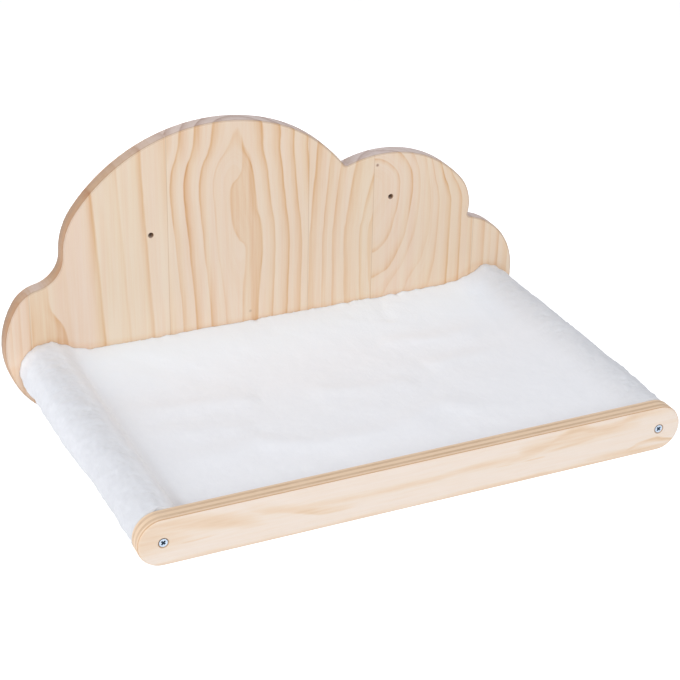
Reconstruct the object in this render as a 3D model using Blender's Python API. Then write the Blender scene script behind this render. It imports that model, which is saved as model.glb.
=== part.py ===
"""Wall-mounted cat bed: a cloud-shaped pine board, two dowels, a front rail and a stretched plush cover.

Metres, +Z up. The back of the board lies in the plane Y = 0, against the wall, and the bed reaches out
along -Y. X = 0 is midway between the dowels and Z = 0 is the height of their axes.
"""

from math import atan2, cos, exp, hypot, pi, radians, sin, sqrt

import bmesh
import bpy
from mathutils import Matrix, Vector

MM = 0.001

# Overall frame of the bed
RAIL_LENGTH = 480 * MM
RAIL_HEIGHT = 41 * MM
RAIL_THICKNESS = 15 * MM
RAIL_ARRIS = 1.6 * MM
BOARD_THICKNESS = 15 * MM
BOARD_ARRIS = 1.6 * MM
BED_DEPTH = 280 * MM
DOWEL_DIAMETER = 30 * MM
DOWEL_CHAMFER = 1 * MM
FACE_GAP = 0.3 * MM

# Cloud outline: each lobe is a circle, and a shoulder is a tighter arc that takes over from it at an angle
LEFT_LOBE_CENTRE = (-181 * MM, 22.8 * MM)
LEFT_LOBE_RADIUS = 77 * MM
LEFT_SHOULDER_RADIUS = 31 * MM
LEFT_SHOULDER_ANGLE = radians(148)
DOME_CENTRE = (-59.3 * MM, 44.4 * MM)
DOME_RADIUS = 164 * MM
DOME_LEFT_SHOULDER_RADIUS = 64.4 * MM
DOME_LEFT_SHOULDER_ANGLE = radians(142.7)
DOME_RIGHT_SHOULDER_RADIUS = 142.7 * MM
DOME_RIGHT_SHOULDER_ANGLE = radians(72.7)
MIDDLE_LOBE_CENTRE = (102.3 * MM, 50 * MM)
MIDDLE_LOBE_RADIUS = 105.9 * MM
MIDDLE_SHOULDER_RADIUS = 42.2 * MM
MIDDLE_SHOULDER_ANGLE = radians(41.1)
RIGHT_LOBE_CENTRE = (180 * MM, 17.5 * MM)
RIGHT_LOBE_RADIUS = 62.2 * MM
BOTTOM_CORNER_RADIUS = 60 * MM
LEFT_VALLEY_RADIUS = 28 * MM
DOME_VALLEY_RADIUS = 4 * MM
RIGHT_VALLEY_RADIUS = 3 * MM

# Screw holes for the wall, bored through the board
WALL_HOLE_DIAMETER = 4.5 * MM
WALL_HOLE_HEIGHT = 112 * MM
WALL_HOLE_LEFT_X = -123 * MM
WALL_HOLE_RIGHT_X = 109 * MM
WALL_HOLE_CHAMFER = 0.4 * MM

# Countersunk screws that hold the dowels
SCREW_LENGTH = 50 * MM
SCREW_HEAD_DIAMETER = 7.0 * MM
SCREW_HEAD_LIP = 0.25 * MM
SCREW_SHANK_DIAMETER = 2.7 * MM
SCREW_CORE_DIAMETER = 2.4 * MM
SCREW_THREAD_DIAMETER = 3.5 * MM
SCREW_THREAD_LENGTH = 32 * MM
SCREW_PITCH = 2.0 * MM
SCREW_TIP_LENGTH = 5 * MM
SCREW_SINK = 0.3 * MM
SCREW_CLEARANCE = 0.3 * MM
RECESS_SPAN = 4.4 * MM
RECESS_ARM = 1.5 * MM
RECESS_DEPTH = 2.1 * MM
RECESS_FLOOR_SCALE = 0.45
RECESS_TURN = radians(45)

# Cloth: a woven canvas next to the dowels and a plush cover outside it, both sewn into two sleeves
CANVAS_THICKNESS = 1 * MM
PLUSH_SLEEVE_THICKNESS = 5.5 * MM
PLUSH_SHEET_THICKNESS = 7.5 * MM
PLUSH_FLAP_THICKNESS = 6 * MM
SEAM_FILLET = 4.5 * MM
HEM_REACH = 45 * MM
CANVAS_INSET = 1.5 * MM
PLUSH_INSET = 0.5 * MM

# The plush where it is not a plain wrap: it swells against the board, and its top folds at the sleeves
SWELL_HEIGHT = 2.4 * MM
SWELL_REACH = 32 * MM
FLAP_FILLET = 3 * MM
LEFT_CREASE_FRONT = 2.5 * MM
LEFT_CREASE_BACK = 40 * MM
LEFT_CREASE_REACH = 30 * MM
RIGHT_CREASE = 40 * MM
BACK_RISE = 1.8 * MM
FRONT_RISE = 2.2 * MM
RISE_REACH = 22 * MM
TROUGH_DEPTH = 2.2 * MM
TROUGH_FROM_RAIL = 77 * MM
TROUGH_REACH = 26 * MM
TROUGH_LEAN = 0.06
SECOND_FOLD_DEPTH = 1.2 * MM
SECOND_FOLD_FROM_BOARD = 73 * MM
SECOND_FOLD_REACH = 12 * MM
SECOND_FOLD_X = 150 * MM
SECOND_FOLD_WIDTH = 45 * MM

# Facet sizes
OUTLINE_STEP = radians(6)
SMALL_ARC_STEP = radians(20)
TURNED_SIDES = 40
SCREW_SIDES = 12
SMOOTH_ANGLE = radians(32)

DOWEL_RADIUS = DOWEL_DIAMETER / 2
DOWEL_X = (RAIL_LENGTH - RAIL_HEIGHT) / 2
BOARD_FRONT_Y = -BOARD_THICKNESS
RAIL_BACK_Y = BOARD_FRONT_Y - BED_DEPTH
RAIL_FRONT_Y = RAIL_BACK_Y - RAIL_THICKNESS
DOWEL_BACK_Y = BOARD_FRONT_Y - FACE_GAP
DOWEL_FRONT_Y = RAIL_BACK_Y + FACE_GAP
SCREW_HOLE_RADIUS = SCREW_THREAD_DIAMETER / 2 + SCREW_CLEARANCE
BOARD_BOTTOM_Z = LEFT_LOBE_CENTRE[1] - LEFT_LOBE_RADIUS


def clear_scene():
    for obj in list(bpy.data.objects):
        bpy.data.objects.remove(obj, do_unlink=True)


def material(name, colour, roughness, metallic=0.0):
    mat = bpy.data.materials.new(name)
    mat.use_nodes = True
    shader = mat.node_tree.nodes["Principled BSDF"]
    shader.inputs["Base Color"].default_value = (*colour, 1.0)
    shader.inputs["Roughness"].default_value = roughness
    shader.inputs["Metallic"].default_value = metallic
    mat.diffuse_color = (*colour, 1.0)
    return mat


def finish_object(name, bm, mat, smooth=True):
    mesh = bpy.data.meshes.new(name)
    bm.to_mesh(mesh)
    bm.free()
    if smooth:
        mesh.shade_smooth()
        mesh.set_sharp_from_angle(angle=SMOOTH_ANGLE)
    mesh.materials.append(mat)
    obj = bpy.data.objects.new(name, mesh)
    bpy.context.scene.collection.objects.link(obj)
    return obj


def share_mesh(name, original, place):
    obj = bpy.data.objects.new(name, original.data)
    obj.matrix_world = place
    bpy.context.scene.collection.objects.link(obj)
    return obj


def cut(target, cutter):
    cutter.hide_render = True
    cutter.display_type = "WIRE"
    modifier = target.modifiers.new("cut " + cutter.name, "BOOLEAN")
    modifier.operation = "DIFFERENCE"
    modifier.solver = "EXACT"
    modifier.object = cutter


def point_at(centre, radius, angle):
    return (centre[0] + radius * cos(angle), centre[1] + radius * sin(angle))


def arc(centre, radius, start, end, step):
    """Points along an arc from the start angle to the end angle, both included."""
    count = max(2, round(abs(end - start) / step))
    return [point_at(centre, radius, start + (end - start) * i / count) for i in range(count + 1)]


def angle_from(centre, point):
    return atan2(point[1] - centre[1], point[0] - centre[0])


def shoulder(centre, radius, angle, shoulder_radius):
    """Centre of the tighter circle that touches the lobe from inside at an angle."""
    return point_at(centre, radius - shoulder_radius, angle)


def valley(left_centre, left_radius, right_centre, right_radius, radius):
    """Centre of the circle that rounds the valley above two neighbouring lobes."""
    reach_left = left_radius + radius
    reach_right = right_radius + radius
    across = Vector(right_centre) - Vector(left_centre)
    span = across.length
    along = (reach_left ** 2 - reach_right ** 2 + span ** 2) / (2 * span)
    rise = sqrt(max(reach_left ** 2 - along ** 2, 0))
    unit = across / span
    centre = Vector(left_centre) + unit * along + Vector((-unit.y, unit.x)) * rise
    return (centre.x, centre.y)


def clockwise_arc(centre, radius, start, end, step=OUTLINE_STEP):
    while end > start:
        end -= 2 * pi
    return arc(centre, radius, start, end, step)


def valley_arc(centre, radius, start, end):
    while end < start:
        end += 2 * pi
    return arc(centre, radius, start, end, min(SMALL_ARC_STEP, max(OUTLINE_STEP, 1.5 * MM / radius)))


def without_repeats(points, tolerance=0.02 * MM):
    kept = []
    for point in points:
        if not kept or hypot(point[0] - kept[-1][0], point[1] - kept[-1][1]) > tolerance:
            kept.append(point)
    if hypot(kept[0][0] - kept[-1][0], kept[0][1] - kept[-1][1]) <= tolerance:
        kept.pop()
    return kept


def cloud_outline():
    """The board's outline in X and Z, clockwise from its bottom edge: left lobe, dome, two right lobes."""
    left = (LEFT_LOBE_CENTRE, LEFT_LOBE_RADIUS)
    left_top = (shoulder(*left, LEFT_SHOULDER_ANGLE, LEFT_SHOULDER_RADIUS), LEFT_SHOULDER_RADIUS)
    dome = (DOME_CENTRE, DOME_RADIUS)
    dome_left = (shoulder(*dome, DOME_LEFT_SHOULDER_ANGLE, DOME_LEFT_SHOULDER_RADIUS),
                 DOME_LEFT_SHOULDER_RADIUS)
    dome_right = (shoulder(*dome, DOME_RIGHT_SHOULDER_ANGLE, DOME_RIGHT_SHOULDER_RADIUS),
                  DOME_RIGHT_SHOULDER_RADIUS)
    middle = (MIDDLE_LOBE_CENTRE, MIDDLE_LOBE_RADIUS)
    middle_right = (shoulder(*middle, MIDDLE_SHOULDER_ANGLE, MIDDLE_SHOULDER_RADIUS),
                    MIDDLE_SHOULDER_RADIUS)
    right = (RIGHT_LOBE_CENTRE, RIGHT_LOBE_RADIUS)
    corner_x = RIGHT_LOBE_CENTRE[0] + RIGHT_LOBE_RADIUS - BOTTOM_CORNER_RADIUS
    corner = ((corner_x, BOARD_BOTTOM_Z + BOTTOM_CORNER_RADIUS), BOTTOM_CORNER_RADIUS)

    left_valley = valley(*left_top, *dome_left, LEFT_VALLEY_RADIUS)
    dome_valley = valley(*dome_right, *middle, DOME_VALLEY_RADIUS)
    right_valley = valley(*middle_right, *right, RIGHT_VALLEY_RADIUS)

    points = clockwise_arc(*left, -pi / 2, LEFT_SHOULDER_ANGLE - 2 * pi)
    points += clockwise_arc(*left_top, LEFT_SHOULDER_ANGLE, angle_from(left_top[0], left_valley))
    points += valley_arc(left_valley, LEFT_VALLEY_RADIUS, angle_from(left_valley, left_top[0]),
                         angle_from(left_valley, dome_left[0]))
    points += clockwise_arc(*dome_left, angle_from(dome_left[0], left_valley), DOME_LEFT_SHOULDER_ANGLE)
    points += clockwise_arc(*dome, DOME_LEFT_SHOULDER_ANGLE, DOME_RIGHT_SHOULDER_ANGLE, OUTLINE_STEP / 2)
    points += clockwise_arc(*dome_right, DOME_RIGHT_SHOULDER_ANGLE,
                            angle_from(dome_right[0], dome_valley), OUTLINE_STEP / 2)
    points += valley_arc(dome_valley, DOME_VALLEY_RADIUS, angle_from(dome_valley, dome_right[0]),
                         angle_from(dome_valley, middle[0]))
    points += clockwise_arc(*middle, angle_from(middle[0], dome_valley), MIDDLE_SHOULDER_ANGLE,
                            OUTLINE_STEP / 2)
    points += clockwise_arc(*middle_right, MIDDLE_SHOULDER_ANGLE,
                            angle_from(middle_right[0], right_valley))
    points += valley_arc(right_valley, RIGHT_VALLEY_RADIUS, angle_from(right_valley, middle_right[0]),
                         angle_from(right_valley, right[0]))
    points += clockwise_arc(*right, angle_from(right[0], right_valley), 0)
    points += clockwise_arc(*corner, 0, -pi / 2)
    return without_repeats(points)


def rail_outline():
    radius = RAIL_HEIGHT / 2
    points = arc((-DOWEL_X, 0), radius, -pi / 2, -3 * pi / 2, OUTLINE_STEP * 1.5)
    points += arc((DOWEL_X, 0), radius, pi / 2, -pi / 2, OUTLINE_STEP * 1.5)
    return without_repeats(points)


def plate(name, outline, back_y, front_y, arris, mat):
    """A flat plate cut to an outline, with its front and back edges rounded over."""
    bm = bmesh.new()
    face = bm.faces.new([bm.verts.new((x, back_y, z)) for x, z in outline])
    sides = bmesh.ops.extrude_face_region(bm, geom=[face])
    moved = [v for v in sides["geom"] if isinstance(v, bmesh.types.BMVert)]
    bmesh.ops.translate(bm, verts=moved, vec=(0, front_y - back_y, 0))
    bmesh.ops.recalc_face_normals(bm, faces=bm.faces)
    rims = [e for e in bm.edges if abs(e.verts[0].co.y - e.verts[1].co.y) < arris]
    bmesh.ops.bevel(bm, geom=rims, offset=arris, segments=2, profile=0.5, affect="EDGES", material=-1)
    return finish_object(name, bm, mat)


def turned(name, profile, sides, mat):
    """A solid of revolution about Y: the profile's (radius, y) points start and end on the axis."""
    bm = bmesh.new()
    verts = [bm.verts.new((radius, y, 0)) for radius, y in profile]
    edges = [bm.edges.new(pair) for pair in zip(verts, verts[1:])]
    bmesh.ops.spin(bm, geom=verts + edges, cent=(0, 0, 0), axis=(0, 1, 0), angle=2 * pi, steps=sides,
                   use_merge=True)
    bmesh.ops.remove_doubles(bm, verts=bm.verts, dist=0.001 * MM)
    bmesh.ops.recalc_face_normals(bm, faces=bm.faces)
    return finish_object(name, bm, mat)


def sink_radius(depth):
    """Radius of the countersunk seat at a depth below the wood's face, clear of the 45 degree head."""
    seat = SCREW_HEAD_DIAMETER / 2 + SCREW_HEAD_LIP + SCREW_SINK + SCREW_CLEARANCE * sqrt(2)
    return max(seat - depth, SCREW_HOLE_RADIUS)


def screw_hole(name, thickness):
    """Cutter for one countersunk hole along Y. Its mouth is at y = 0 and it runs towards -Y."""
    over = 2 * MM
    cone_depth = sink_radius(0) - SCREW_HOLE_RADIUS
    profile = [(0, over), (sink_radius(0), over), (sink_radius(0), 0), (SCREW_HOLE_RADIUS, -cone_depth),
               (SCREW_HOLE_RADIUS, -thickness - over), (0, -thickness - over)]
    return turned(name, profile, TURNED_SIDES, None)


def wall_hole(name):
    """Cutter for one plain hole through the board, its mouth at y = 0 on the board's front."""
    over = 1 * MM
    radius = WALL_HOLE_DIAMETER / 2
    mouth = radius + WALL_HOLE_CHAMFER
    end = -BOARD_THICKNESS - over
    profile = [(0, over), (mouth, over), (mouth, 0), (radius, -WALL_HOLE_CHAMFER), (radius, end), (0, end)]
    return turned(name, profile, TURNED_SIDES // 2, None)


def facing_front(x, y, z):
    """Place for something made along -Y so that it enters the wood from the front."""
    return Matrix.Translation((x, y, z)) @ Matrix.Rotation(pi, 4, "Z")


def facing_back(x, y, z):
    return Matrix.Translation((x, y, z))


def cloud_backboard(mat):
    board = plate("cloud_backboard", cloud_outline(), 0, BOARD_FRONT_Y, BOARD_ARRIS, mat)
    for side, x in (("left", -DOWEL_X), ("right", DOWEL_X)):
        hole = screw_hole(side + " rear screw hole", BOARD_THICKNESS)
        hole.matrix_world = facing_back(x, 0, 0)
        cut(board, hole)
    for side, x in (("left", WALL_HOLE_LEFT_X), ("right", WALL_HOLE_RIGHT_X)):
        hole = wall_hole(side + " wall hole")
        hole.matrix_world = facing_front(x, BOARD_FRONT_Y, WALL_HOLE_HEIGHT)
        cut(board, hole)
    return board


def front_rail(mat):
    rail = plate("front_rail", rail_outline(), RAIL_BACK_Y, RAIL_FRONT_Y, RAIL_ARRIS, mat)
    for side, x in (("left", -DOWEL_X), ("right", DOWEL_X)):
        hole = screw_hole(side + " front screw hole", RAIL_THICKNESS)
        hole.matrix_world = facing_front(x, RAIL_FRONT_Y, 0)
        cut(rail, hole)
    return rail


def dowels(mat):
    """Both dowels, each with a blind pilot hole in either end for its screws."""
    back_pilot = -SCREW_SINK - SCREW_LENGTH - SCREW_CLEARANCE
    front_pilot = RAIL_FRONT_Y + SCREW_SINK + SCREW_LENGTH + SCREW_CLEARANCE
    rim = DOWEL_RADIUS - DOWEL_CHAMFER
    profile = [(0, back_pilot), (SCREW_HOLE_RADIUS, back_pilot), (SCREW_HOLE_RADIUS, DOWEL_BACK_Y),
               (rim, DOWEL_BACK_Y), (DOWEL_RADIUS, DOWEL_BACK_Y - DOWEL_CHAMFER),
               (DOWEL_RADIUS, DOWEL_FRONT_Y + DOWEL_CHAMFER), (rim, DOWEL_FRONT_Y),
               (SCREW_HOLE_RADIUS, DOWEL_FRONT_Y), (SCREW_HOLE_RADIUS, front_pilot), (0, front_pilot)]
    left = turned("left_dowel", profile, TURNED_SIDES, mat)
    left.location.x = -DOWEL_X
    share_mesh("right_dowel", left, Matrix.Translation((DOWEL_X, 0, 0)))


def recess_cutter():
    """Tapered cross that cuts the driver's recess, pointing down -Y from the head's top."""
    half_span = RECESS_SPAN / 2
    half_arm = RECESS_ARM / 2
    quarter = [(half_span, -half_arm), (half_span, half_arm), (half_arm, half_arm)]
    bm = bmesh.new()
    rings = []
    for y, scale in ((0.5 * MM, 1.0), (0, 1.0), (-RECESS_DEPTH, RECESS_FLOOR_SCALE)):
        ring = []
        for turn in range(4):
            spin = Matrix.Rotation(turn * pi / 2 + RECESS_TURN, 2)
            for x, z in quarter:
                place = spin @ Vector((x * scale, z * scale))
                ring.append(bm.verts.new((place.x, y, place.y)))
        rings.append(ring)
    for upper, lower in zip(rings, rings[1:]):
        for i in range(len(upper)):
            j = (i + 1) % len(upper)
            bm.faces.new((upper[i], upper[j], lower[j], lower[i]))
    bm.faces.new(rings[0])
    bm.faces.new(rings[-1])
    bmesh.ops.recalc_face_normals(bm, faces=bm.faces)
    return finish_object("screw recess", bm, None, smooth=False)


def thread_radius(angle, depth, taper):
    """Radius of the threaded core: a sharp crest once in each pitch, fading out along the tip."""
    core = SCREW_CORE_DIAMETER / 2 * taper
    crest = SCREW_THREAD_DIAMETER / 2 * taper
    phase = (depth / SCREW_PITCH - angle / (2 * pi)) % 1.0
    rise = max(0.0, 1 - abs(phase - 0.5) * 4)
    return core + (crest - core) * rise


def screw(name, mat):
    """Countersunk screw along -Y with its head's top at y = 0: head, plain shank, thread and point."""
    head = SCREW_HEAD_DIAMETER / 2
    shank = SCREW_SHANK_DIAMETER / 2
    core = SCREW_CORE_DIAMETER / 2
    neck = SCREW_HEAD_LIP + head - shank
    thread_start = SCREW_LENGTH - SCREW_THREAD_LENGTH
    tip_start = SCREW_LENGTH - SCREW_TIP_LENGTH
    rings_per_pitch = 4
    ring_count = round((tip_start - thread_start) / SCREW_PITCH * rings_per_pitch)
    tip_rings = max(2, round(SCREW_TIP_LENGTH / SCREW_PITCH * rings_per_pitch))
    profile = [(0, 0), (head, 0), (head, -SCREW_HEAD_LIP), (shank, -neck), (shank, -thread_start + MM)]
    for i in range(ring_count + 1):
        profile.append((core, -(thread_start + (tip_start - thread_start) * i / ring_count)))
    for i in range(1, tip_rings):
        profile.append((core * (1 - i / tip_rings), -(tip_start + SCREW_TIP_LENGTH * i / tip_rings)))
    profile.append((0, -SCREW_LENGTH))
    obj = turned(name, profile, SCREW_SIDES, mat)
    slack = 0.01 * MM
    for vert in obj.data.vertices:
        depth = -vert.co.y
        reach = hypot(vert.co.x, vert.co.z)
        if depth > thread_start + slack and reach > slack:
            taper = min(1.0, (SCREW_LENGTH - depth) / SCREW_TIP_LENGTH)
            radius = thread_radius(atan2(vert.co.z, vert.co.x), depth, taper)
            vert.co.x *= radius / reach
            vert.co.z *= radius / reach
    return obj


def screws(mat):
    """Four equal screws, with their heads sunk a little below the rail's front and the board's back."""
    places = (("left_front_screw", facing_front(-DOWEL_X, RAIL_FRONT_Y + SCREW_SINK, 0)),
              ("right_front_screw", facing_front(DOWEL_X, RAIL_FRONT_Y + SCREW_SINK, 0)),
              ("left_rear_screw", facing_back(-DOWEL_X, -SCREW_SINK, 0)),
              ("right_rear_screw", facing_back(DOWEL_X, -SCREW_SINK, 0)))
    for name, place in places:
        piece = screw(name, mat)
        piece.matrix_world = place
        cutter = recess_cutter()
        cutter.name = name + " recess"
        cutter.matrix_world = place
        cut(piece, cutter)


def bump(distance, reach):
    return exp(-(distance / reach) ** 2)


def sheet_relief(x, y):
    """How far the plush between the sleeves stands above or below its level: rises and soft folds."""
    rise = BACK_RISE * bump(BOARD_FRONT_Y - y, RISE_REACH) + FRONT_RISE * bump(y - RAIL_BACK_Y, RISE_REACH)
    trough_y = RAIL_BACK_Y + TROUGH_FROM_RAIL + TROUGH_LEAN * x
    trough = TROUGH_DEPTH * bump(y - trough_y, TROUGH_REACH)
    fold_y = BOARD_FRONT_Y - SECOND_FOLD_FROM_BOARD
    fold = SECOND_FOLD_DEPTH * bump(y - fold_y, SECOND_FOLD_REACH) * bump(x - SECOND_FOLD_X, SECOND_FOLD_WIDTH)
    return rise - trough - fold


def wrap(radius, sheet_z, flap_z, sheet_fillet, flap_fillet):
    """Half a section through the cloth, from its hem under the sheet round a dowel and up on to the sheet.

    Points are (inboard, z) from the dowel's axis. The counts are fixed, so that sections can be joined.
    """
    flap_centre_z = flap_z - flap_fillet
    flap_centre = (sqrt((radius + flap_fillet) ** 2 - flap_centre_z ** 2), flap_centre_z)
    sheet_centre_z = sheet_z + sheet_fillet
    sheet_centre = (sqrt((radius + sheet_fillet) ** 2 - sheet_centre_z ** 2), sheet_centre_z)
    leave_flap = atan2(flap_centre[1], flap_centre[0])
    meet_sheet = atan2(sheet_centre[1], sheet_centre[0])
    points = [(HEM_REACH, flap_z)]
    points += arc_steps(flap_centre, flap_fillet, pi / 2, leave_flap + pi, 3)
    points += arc_steps((0, 0), radius, leave_flap, meet_sheet - 2 * pi, 20)[1:]
    points += arc_steps(sheet_centre, sheet_fillet, meet_sheet + pi, 3 * pi / 2, 5)[1:]
    return points


def arc_steps(centre, radius, start, end, count):
    return [point_at(centre, radius, start + (end - start) * i / count) for i in range(count + 1)]


def section(half_left, half_right, relief, sheet_steps=10):
    """A whole section in world X and Z from two halves, with the sheet between them."""
    left = [(-DOWEL_X + u, z) for u, z in half_left]
    right = [(DOWEL_X - u, z) for u, z in half_right]
    start = left[-1]
    end = right[-1]
    sheet = []
    for i in range(1, sheet_steps):
        x = start[0] + (end[0] - start[0]) * i / sheet_steps
        blend = sin(pi * i / sheet_steps) ** 0.5
        sheet.append((x, start[1] + relief(x) * blend))
    return left + sheet + right[::-1]


def cloth(name, inner_at, outer_at, stations, mat):
    """A strip of cloth with thickness: its two faces are lofted through sections along Y."""
    bm = bmesh.new()
    inner = [[bm.verts.new((x, y, z)) for x, z in inner_at(y)] for y in (stations[0], stations[-1])]
    outer = [[bm.verts.new((x, y, z)) for x, z in outer_at(y)] for y in stations]
    count = len(inner[0])
    for rows in (inner, outer):
        for back, front in zip(rows, rows[1:]):
            for i in range(count - 1):
                bm.faces.new((back[i], back[i + 1], front[i + 1], front[i]))
    for end in (0, -1):
        for i in range(count - 1):
            bm.faces.new((inner[end][i], inner[end][i + 1], outer[end][i + 1], outer[end][i]))
    for i in (0, count - 1):
        bm.faces.new([row[i] for row in outer] + [inner[1][i], inner[0][i]])
    bmesh.ops.recalc_face_normals(bm, faces=bm.faces)
    return finish_object(name, bm, mat)


def sling_canvas(mat):
    """The woven cloth: wrapped round each dowel, folded under and hemmed, flat across the middle."""
    inner_radius = DOWEL_RADIUS + FACE_GAP
    level = FACE_GAP / 2
    inner = wrap(inner_radius, level, -level, SEAM_FILLET, SEAM_FILLET)
    outer = wrap(inner_radius + CANVAS_THICKNESS, level + CANVAS_THICKNESS, -level - CANVAS_THICKNESS,
                 SEAM_FILLET - CANVAS_THICKNESS, SEAM_FILLET - CANVAS_THICKNESS)
    stations = (BOARD_FRONT_Y - CANVAS_INSET, RAIL_BACK_Y + CANVAS_INSET)
    return cloth("sling_canvas", lambda y: section(inner, inner, lambda x: 0),
                 lambda y: section(outer, outer, lambda x: 0), stations, mat)


def plush_stations():
    """Where the plush is sectioned along Y: close together where its surface changes quickly."""
    start = BOARD_FRONT_Y - PLUSH_INSET
    length = BED_DEPTH - 2 * PLUSH_INSET
    shares = (0, 0.03, 0.07, 0.12, 0.18, 0.22, 0.26, 0.3, 0.42, 0.54, 0.64, 0.73, 0.82, 0.89, 0.95, 1)
    return [start - length * share for share in shares]


def plush_cover(mat):
    """The plush: thinner where it is drawn round the dowels, full and softly folded between them."""
    under = FACE_GAP + CANVAS_THICKNESS + FACE_GAP
    inner_radius = DOWEL_RADIUS + under
    level = under - FACE_GAP / 2
    inner_fillet = SEAM_FILLET - CANVAS_THICKNESS - FACE_GAP
    inner = wrap(inner_radius, level, -level, inner_fillet, inner_fillet)
    sheet_z = level + PLUSH_SHEET_THICKNESS
    flap_z = -level - PLUSH_FLAP_THICKNESS

    def outer_at(y):
        near_board = bump(BOARD_FRONT_Y - y, SWELL_REACH)
        radius = inner_radius + PLUSH_SLEEVE_THICKNESS + SWELL_HEIGHT * near_board
        crease_blend = bump(BOARD_FRONT_Y - y, LEFT_CREASE_REACH)
        left_crease = LEFT_CREASE_FRONT + (LEFT_CREASE_BACK - LEFT_CREASE_FRONT) * crease_blend
        left = wrap(radius, sheet_z, flap_z, left_crease, FLAP_FILLET)
        right = wrap(radius, sheet_z, flap_z, RIGHT_CREASE, FLAP_FILLET)
        return section(left, right, lambda x: sheet_relief(x, y))

    return cloth("plush_cover", lambda y: section(inner, inner, lambda x: 0), outer_at, plush_stations(), mat)


def main():
    clear_scene()
    pine = material("edge-glued pine", (0.84, 0.68, 0.49), 0.5)
    plywood = material("pine-faced plywood", (0.87, 0.74, 0.57), 0.5)
    dowel_wood = material("beech dowel", (0.80, 0.62, 0.42), 0.55)
    zinc = material("zinc-plated steel", (0.72, 0.76, 0.82), 0.28, 1.0)
    plush = material("white plush", (0.90, 0.90, 0.92), 0.95)
    canvas = material("cotton canvas", (0.80, 0.77, 0.70), 0.9)
    cloud_backboard(pine)
    front_rail(plywood)
    dowels(dowel_wood)
    screws(zinc)
    sling_canvas(canvas)
    plush_cover(plush)


main()
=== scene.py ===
"""Wall-mounted cat bed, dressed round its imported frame: pine, plywood, zinc, canvas and white plush.

Metres, in the frame's own axes: the board's back lies in the plane Y = 0 and the bed reaches out along -Y,
X = 0 is midway between the dowels and Z = 0 is the height of their axes. Wood figure is given in millimetres.
"""

from math import atan2, cos, exp, pi, radians, sin, sqrt, tanh

import bmesh
import bpy
from mathutils import Matrix, Vector, geometry, kdtree, noise


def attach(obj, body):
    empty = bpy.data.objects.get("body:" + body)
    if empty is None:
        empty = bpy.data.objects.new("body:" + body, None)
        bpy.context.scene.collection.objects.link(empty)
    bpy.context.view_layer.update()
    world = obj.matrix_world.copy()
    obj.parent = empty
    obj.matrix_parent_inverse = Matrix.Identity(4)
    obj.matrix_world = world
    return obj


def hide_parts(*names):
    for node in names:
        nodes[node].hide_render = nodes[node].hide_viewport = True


MM = 0.001

# Where the cloth lies, as the frame's solids have it
DOWEL_X = 219.5 * MM
DOWEL_RADIUS = 15 * MM
BOARD_FRONT_Y = -15 * MM
RAIL_BACK_Y = -295 * MM
RAIL_FRONT_Y = -310 * MM
CLOTH_GAP = 0.3 * MM
CANVAS_THICKNESS = 1 * MM
CANVAS_INSET = 1.5 * MM
PLUSH_INSET = 0.1 * MM
SEAM_FILLET = 4.5 * MM
HEM_REACH = 45 * MM

# The plush: how thick it is on the sleeves, on top of the sheet and in the hems under it
SLEEVE_PILE = 5.2 * MM
SHEET_PILE = 6.5 * MM
FLAP_PILE = 6 * MM
FLAP_FILLET = 3 * MM
# How the sheet rises at the board and at the rail, and the sleeves swell at the board, as (height, reach)
BOARD_RISE = (3.8 * MM, 55 * MM)
RAIL_RISE = (1.6 * MM, 20 * MM)
BOARD_SWELL = (2.4 * MM, 32 * MM)
# Radius of the hollow fillets between sheet and sleeves, and how it grows at the board, as (growth, reach)
LEFT_CREASE = 2.5 * MM
LEFT_CREASE_GROWTH = (72.5 * MM, 26 * MM)
RIGHT_CREASE = 40 * MM
RIGHT_CREASE_GROWTH = (80 * MM, 26 * MM)

# Rows of points from board to rail, and points along each stretch of a section
PLUSH_ROWS = 186
PLUSH_COUNTS = {"flap": 14, "flap_fillet": 4, "sleeve": 66, "crease": 12, "sheet": 200}
LINING_ROWS = 16
LINING_COUNTS = {"flap": 2, "flap_fillet": 2, "sleeve": 16, "crease": 2, "sheet": 16}


def linear(code):
    """sRGB hex to a linear colour."""
    parts = [int(code[i:i + 2], 16) / 255 for i in (1, 3, 5)]
    return tuple(p / 12.92 if p <= 0.04045 else ((p + 0.055) / 1.055) ** 2.4 for p in parts) + (1.0,)


def add(tree, kind, *inputs, named=None, **settings):
    """Adds a node: inputs fill its sockets in order, or by name, with a value, a node or an output."""
    made = tree.nodes.new("ShaderNode" + kind)
    for name, value in settings.items():
        setattr(made, name, value)
    for key, value in list(enumerate(inputs)) + list((named or {}).items()):
        if isinstance(value, bpy.types.Node):
            value = value.outputs[0]
        if isinstance(value, bpy.types.NodeSocket):
            tree.links.new(value, made.inputs[key])
        elif value is not None:
            made.inputs[key].default_value = value
    return made


def new_material(name, roughness, metallic=0.0, ior=1.5):
    mat = bpy.data.materials.new(name)
    mat.use_nodes = True
    shader = mat.node_tree.nodes["Principled BSDF"]
    shader.inputs["Roughness"].default_value = roughness
    shader.inputs["Metallic"].default_value = metallic
    shader.inputs["IOR"].default_value = ior
    return mat, mat.node_tree, shader


def finish_surface(tree, shader, colour, strength, depth, height):
    """Gives a material its colour and its fine relief, which is depth metres deep where height is 1."""
    tree.links.new(colour.outputs[0], shader.inputs["Base Color"])
    bump = add(tree, "Bump", named={"Strength": strength, "Distance": depth, "Height": height})
    tree.links.new(bump.outputs[0], shader.inputs["Normal"])


def object_place(tree):
    """A point's own place on the object: as one vector in metres, then X, Y and Z in millimetres."""
    place = add(tree, "TexCoord").outputs["Object"]
    in_mm = add(tree, "VectorMath", place, named={"Scale": 1 / MM}, operation="SCALE")
    x, y, z = add(tree, "SeparateXYZ", in_mm).outputs
    return place, x, y, z


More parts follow.
